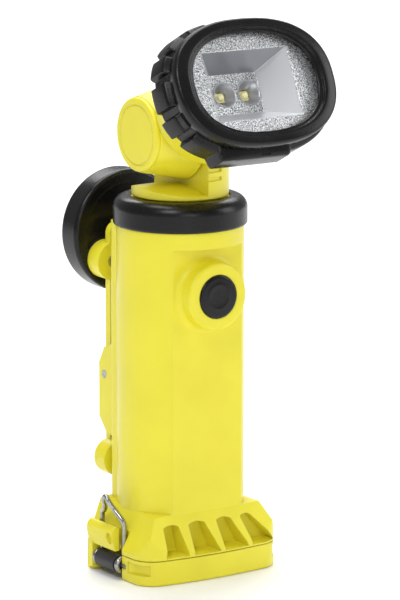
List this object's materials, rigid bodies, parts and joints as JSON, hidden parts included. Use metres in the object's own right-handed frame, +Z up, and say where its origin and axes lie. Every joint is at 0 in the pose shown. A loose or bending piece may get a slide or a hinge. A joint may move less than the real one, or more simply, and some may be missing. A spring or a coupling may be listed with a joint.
{
  "type": "right-angle work light",
  "caption": "Firefighter work light with an upright battery body, a knuckle-jointed tilting and swivelling lamp head, a push button, a magnet clip and a latched battery door.",
  "frame": {"origin": "middle of the flat resting face under the foot, on the axis of the round body", "axes": "+Z up the body, -Y the side of the push button, which the lamp head faces at rest, -X the side of the door latch"},
  "size_m": [0.0674, 0.1023, 0.2017],
  "materials": {
    "yellow_nylon": "moulded safety-yellow nylon, satin",
    "black_rubber": "moulded black rubber, satin",
    "dark_plastic": "dark moulded plastic",
    "clear_lens": "clear polycarbonate, polished",
    "bright_reflector": "metallised stippled reflector",
    "steel": "stainless steel",
    "spring_brass": "brass contact",
    "alloy": "machined aluminium",
    "board_green": "circuit board",
    "cell_wrap": "plain shrink wrap",
    "magnet_dark": "ferrite",
    "phosphor": "light source phosphor",
    "lead_sleeve": "insulated lead"
  },
  "bodies": {
    "casing": {"main_casing": "yellow_nylon", "rubber_ring": "black_rubber", "battery_carrier": "dark_plastic", "battery_cells": "cell_wrap", "top_board": "board_green", "switch_board": "board_green", "tact_switch": "dark_plastic", "clip_bracket": "yellow_nylon", "bracket_screws": "steel", "clip_pin": "steel", "clip_spring": "steel", "door_hinge_pin": "steel"},
    "door": {"battery_door": "yellow_nylon", "door_contact": "spring_brass", "door_springs": "steel", "door_gasket": "black_rubber", "latch_axle": "steel"},
    "latch": {"latch_lever": "yellow_nylon", "wire_bail": "steel"},
    "roller": {"latch_roller": "dark_plastic"},
    "button": {"switch_boot": "black_rubber", "switch_plunger": "dark_plastic"},
    "neck": {"swivel_neck": "yellow_nylon", "swivel_seal": "black_rubber", "swivel_nut": "dark_plastic", "lead_wires": "lead_sleeve", "pivot_bolt": "steel", "pivot_nut": "steel", "friction_washer": "spring_brass"},
    "head": {"head_housing": "yellow_nylon", "pivot_cap": "yellow_nylon", "bezel": "black_rubber", "lens": "clear_lens", "lens_gasket": "black_rubber", "reflector": "bright_reflector", "led_board": "board_green", "heat_sink": "alloy", "led_screws": "steel", "spot_led": "phosphor", "flood_led": "phosphor"},
    "clip": {"clip_arm": "yellow_nylon", "magnet_cup": "black_rubber", "magnet_plate": "steel", "magnet": "magnet_dark", "magnet_screws": "steel"}
  },
  "joints": [
    {"name": "head_swivel", "type": "hinge", "parent": "casing", "child": "neck", "pos_m": [0, 0, 0.13], "axis": [0, 0, 1], "range_deg": [-180, 180]},
    {"name": "head_tilt", "type": "hinge", "parent": "neck", "child": "head", "pos_m": [0, 0, 0.158], "axis": [-1, 0, 0], "range_deg": [-11, 139]},
    {"name": "switch_press", "type": "slide", "parent": "casing", "child": "button", "axis": [0, 1, 0], "range_m": [0, 0.0015], "stiffness_N_per_m": 2500, "springref_m": -0.0004},
    {"name": "door_hinge", "type": "hinge", "parent": "casing", "child": "door", "pos_m": [0.0302, 0, 0.00915], "axis": [0, -1, 0], "range_deg": [0, 100]},
    {"name": "latch_swing", "type": "hinge", "parent": "door", "child": "latch", "pos_m": [-0.0285, 0, 0.0053], "axis": [0, -1, 0], "range_deg": [0, 95]},
    {"name": "roller_spin", "type": "hinge", "parent": "door", "child": "roller", "pos_m": [-0.0285, 0, 0.0053], "axis": [0, 1, 0], "continuous": true},
    {"name": "clip_squeeze", "type": "hinge", "parent": "casing", "child": "clip", "pos_m": [0, 0.027, 0.067], "axis": [1, 0, 0], "range_deg": [0, 6], "stiffness_Nm_per_rad": 0.6, "springref_deg": -20.05}
  ]
}
